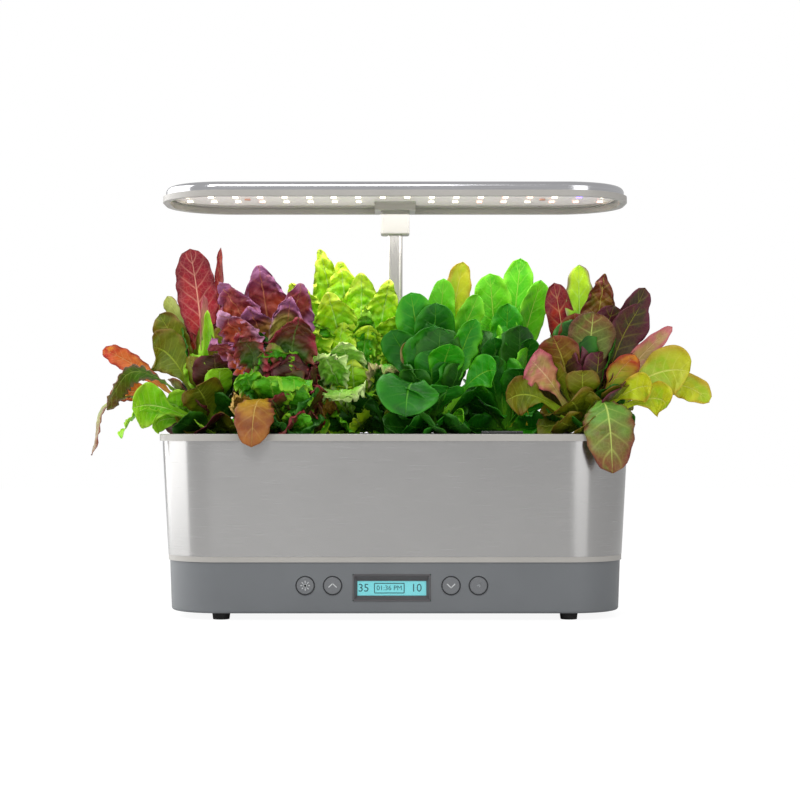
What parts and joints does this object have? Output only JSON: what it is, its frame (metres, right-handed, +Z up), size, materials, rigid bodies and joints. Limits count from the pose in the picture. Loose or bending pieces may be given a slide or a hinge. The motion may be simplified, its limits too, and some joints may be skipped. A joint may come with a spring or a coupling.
{
  "type": "countertop hydroponic garden",
  "caption": "Slim countertop hydroponic garden: steel-wrapped water bowl with planted lettuces under a height-adjustable LED lamp hood on a telescopic mast.",
  "frame": {"origin": "on the table, under the middle of the base", "axes": "+X to the right and -Y to the front as seen by someone facing the controls, +Z up"},
  "size_m": [0.5883, 0.1919, 0.4014],
  "materials": {
    "slate_plastic": "satin slate-grey moulded plastic",
    "slate_bezel": "satin slate-grey moulded plastic",
    "dark_plastic": "dark moulded plastic",
    "foot_rubber": "soft black rubber",
    "screw_steel": "zinc-plated steel",
    "screw_copper": "copper-coloured plated steel",
    "pale_plastic": "pale warm-grey moulded plastic",
    "display_glass": "clear window",
    "display_panel": "backlit pale teal display",
    "circuit_board": "green circuit board",
    "button_plastic": "satin slate-grey button",
    "ring_chrome": "dark chrome ring",
    "switch_plastic": "black switch",
    "black_plastic": "black moulded plastic",
    "mast_metal": "satin anodised tube",
    "glide_nylon": "natural nylon",
    "lead_rubber": "curled internal lead",
    "polished_steel": "polished stainless sheet",
    "lens_clear": "clear lamp cover",
    "white_board": "glossy white lamp board",
    "led_light": "lit diode",
    "spreader_aluminium": "rolled sheet",
    "bowl_plastic": "dark moulded plastic",
    "brushed_wrap": "horizontally brushed stainless sheet",
    "deck_plastic": "dark moulded plastic",
    "float_foam": "orange float",
    "filter_sponge": "open-cell filter foam",
    "basket_plastic": "slotted black cup",
    "sponge_peat": "dark growth sponge",
    "collar_plastic": "grey disc",
    "leaf_red": "romaine leaf, red over green",
    "leaf_purple": "frilled leaf, purple over green",
    "leaf_lime": "frilled leaf, yellow-green",
    "leaf_green": "smooth leaf, deep green",
    "leaf_bright": "romaine leaf, bright green",
    "leaf_bronze": "smooth leaf, bronze over green"
  },
  "bodies": {
    "planter": {"base_shell": "slate_plastic", "board_screws": "screw_steel", "bottom_cover": "dark_plastic", "bowl_rim": "pale_plastic", "bronze_lettuce": "leaf_bronze", "butterhead_lettuce": "leaf_green", "button_rings": "ring_chrome", "case_screws": "screw_steel", "control_board": "circuit_board", "display_bezel": "slate_bezel", "display_module": "display_panel", "display_window": "display_glass", "door_pin": "screw_steel", "filter_foam": "filter_sponge", "float_stem": "dark_plastic", "green_leaf_lettuce": "leaf_lime", "green_romaine": "leaf_bright", "grow_baskets": "basket_plastic", "grow_deck": "deck_plastic", "growth_sponges": "sponge_peat", "impeller_axle": "screw_steel", "inlet_bracket": "dark_plastic", "mast_collar": "pale_plastic", "mast_socket": "dark_plastic", "outer_mast": "mast_metal", "pod_collars": "collar_plastic", "power_inlet": "black_plastic", "pump_cover": "black_plastic", "pump_dock": "black_plastic", "pump_housing": "black_plastic", "red_leaf_lettuce": "leaf_purple", "red_romaine": "leaf_red", "riser_tube": "black_plastic", "rubber_feet": "foot_rubber", "steel_wrap": "brushed_wrap", "tact_switches": "switch_plastic", "trim_ring": "pale_plastic", "water_bowl": "bowl_plastic", "water_channel": "dark_plastic"},
    "lamp": {"inner_mast": "mast_metal", "mast_glide": "glide_nylon", "mast_head": "pale_plastic", "lamp_lead": "lead_rubber", "hood_bezel": "pale_plastic", "hood_shell": "polished_steel", "lamp_lens": "lens_clear", "led_board": "white_board", "leds": "led_light", "heat_spreader": "spreader_aluminium", "hood_screws": "screw_copper", "head_screws": "screw_steel"},
    "door": {"fill_door": "deck_plastic"},
    "float": {"level_float": "float_foam"},
    "impeller": {"pump_impeller": "dark_plastic"},
    "light_key": {"light_button": "button_plastic"},
    "up_key": {"up_button": "button_plastic"},
    "down_key": {"down_button": "button_plastic"},
    "outlet_key": {"outlet_button": "button_plastic"}
  },
  "joints": [
    {"name": "lamp_height", "type": "slide", "parent": "planter", "child": "lamp", "axis": [0, 0, 1], "range_m": [-0.028, 0.088], "deforming": ["lamp_lead"]},
    {"name": "door_hinge", "type": "hinge", "parent": "planter", "child": "door", "pos_m": [0.1, -0.029, 0.1717], "axis": [-1, 0, 0], "range_deg": [0, 100]},
    {"name": "float_slide", "type": "slide", "parent": "planter", "child": "float", "axis": [0, 0, 1], "range_m": [0, 0.0265]},
    {"name": "impeller_spin", "type": "hinge", "parent": "planter", "child": "impeller", "pos_m": [-0.105, 0.019, 0.0778], "axis": [0, 1, 0], "continuous": true},
    {"name": "light_press", "type": "slide", "parent": "planter", "child": "light_key", "axis": [0, 1, 0], "range_m": [0, 0.0008], "stiffness_N_per_m": 900, "springref_m": -0.0005},
    {"name": "up_press", "type": "slide", "parent": "planter", "child": "up_key", "axis": [0, 1, 0], "range_m": [0, 0.0008], "stiffness_N_per_m": 900, "springref_m": -0.0005},
    {"name": "down_press", "type": "slide", "parent": "planter", "child": "down_key", "axis": [0, 1, 0], "range_m": [0, 0.0008], "stiffness_N_per_m": 900, "springref_m": -0.0005},
    {"name": "outlet_press", "type": "slide", "parent": "planter", "child": "outlet_key", "axis": [0, 1, 0], "range_m": [0, 0.0008], "stiffness_N_per_m": 900, "springref_m": -0.0005}
  ]
}
